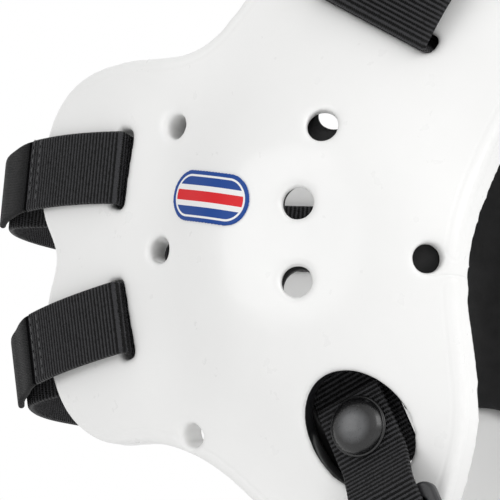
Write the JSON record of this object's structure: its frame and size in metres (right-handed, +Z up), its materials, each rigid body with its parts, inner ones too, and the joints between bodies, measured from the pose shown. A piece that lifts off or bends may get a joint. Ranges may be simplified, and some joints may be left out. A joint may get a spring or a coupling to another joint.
{
  "type": "wrestling ear guard headgear",
  "caption": "Open-face ear guard headgear: coated foam ear panels joined by a forehead band, with adjustable crown, back and press-studded chin straps.",
  "frame": {"origin": "midway between the wearer's ear canals", "axes": "+Z up out of the wearer's crown, +X to the wearer's left, -Y forward; the strap studs hang forward of the origin"},
  "size_m": [0.1835, 0.2272, 0.274],
  "materials": {
    "coated_foam": "glossy dipped vinyl skin over closed-cell foam",
    "liner_foam": "satin black closed-cell foam",
    "badge_print": "printed film, plain stripes",
    "webbing": "ribbed nylon webbing with a soft sheen",
    "hook_tape": "smooth woven tape with hooks on its head side",
    "plated_metal": "nickel plate",
    "black_enamel": "semi-gloss enamel on pressed brass",
    "slider_plastic": "moulded, lightly satin"
  },
  "bodies": {
    "shell": {"shell": "coated_foam", "liner_right": "liner_foam", "liner_left": "liner_foam", "liner_forehead": "liner_foam", "badge_right": "badge_print", "badge_left": "badge_print", "crown_strap_right": "webbing", "crown_strap_left": "webbing", "back_strap_upper": "webbing", "back_strap_lower": "webbing", "chin_anchor_right": "webbing", "chin_anchor_left": "webbing", "stud_rivet_right": "plated_metal", "stud_rivet_left": "plated_metal", "stud_post_right": "plated_metal", "stud_post_left": "plated_metal"},
    "upper_tail_right": {"upper_strap_tail_right": "webbing", "upper_hook_tab_right": "hook_tape"},
    "upper_tail_left": {"upper_strap_tail_left": "webbing", "upper_hook_tab_left": "hook_tape"},
    "lower_tail_right": {"lower_strap_tail_right": "webbing", "lower_hook_tab_right": "hook_tape"},
    "lower_tail_left": {"lower_strap_tail_left": "webbing", "lower_hook_tab_left": "hook_tape"},
    "crown_tab": {"crown_hook_tab": "hook_tape"},
    "chin": {"chin_strap": "webbing", "chin_strap_fold": "webbing", "snap_socket_right": "plated_metal", "snap_socket_left": "plated_metal", "snap_cap_right": "black_enamel", "snap_cap_left": "black_enamel"},
    "slider": {"strap_slider": "slider_plastic"}
  },
  "joints": [
    {"name": "upper_tail_right_peel", "type": "hinge", "parent": "shell", "child": "upper_tail_right", "pos_m": [-0.0775, 0.058, 0.014], "axis": [0, -0.1045, 0.9945], "range_deg": [0, 95]},
    {"name": "upper_tail_left_peel", "type": "hinge", "parent": "shell", "child": "upper_tail_left", "pos_m": [0.0775, 0.058, 0.014], "axis": [0, 0.1045, -0.9945], "range_deg": [0, 95]},
    {"name": "lower_tail_right_peel", "type": "hinge", "parent": "shell", "child": "lower_tail_right", "pos_m": [-0.0768, 0.0583, -0.026], "axis": [0, 0.1392, 0.9903], "range_deg": [0, 95]},
    {"name": "lower_tail_left_peel", "type": "hinge", "parent": "shell", "child": "lower_tail_left", "pos_m": [0.0768, 0.0583, -0.026], "axis": [0, -0.1392, -0.9903], "range_deg": [0, 95]},
    {"name": "crown_tab_peel", "type": "hinge", "parent": "shell", "child": "crown_tab", "pos_m": [-0.03103, -0.05436, 0.11407], "axis": [0, 0.866, 0.5], "range_deg": [0, 90]},
    {"name": "chin_swing", "type": "hinge", "parent": "shell", "child": "chin", "pos_m": [0, -0.011, -0.058], "axis": [1, 0, 0], "range_deg": [-5, 5]},
    {"name": "slider_slide", "type": "slide", "parent": "chin", "child": "slider", "axis": [0, -0.4226, -0.9063], "range_m": [0, 0.01]}
  ]
}
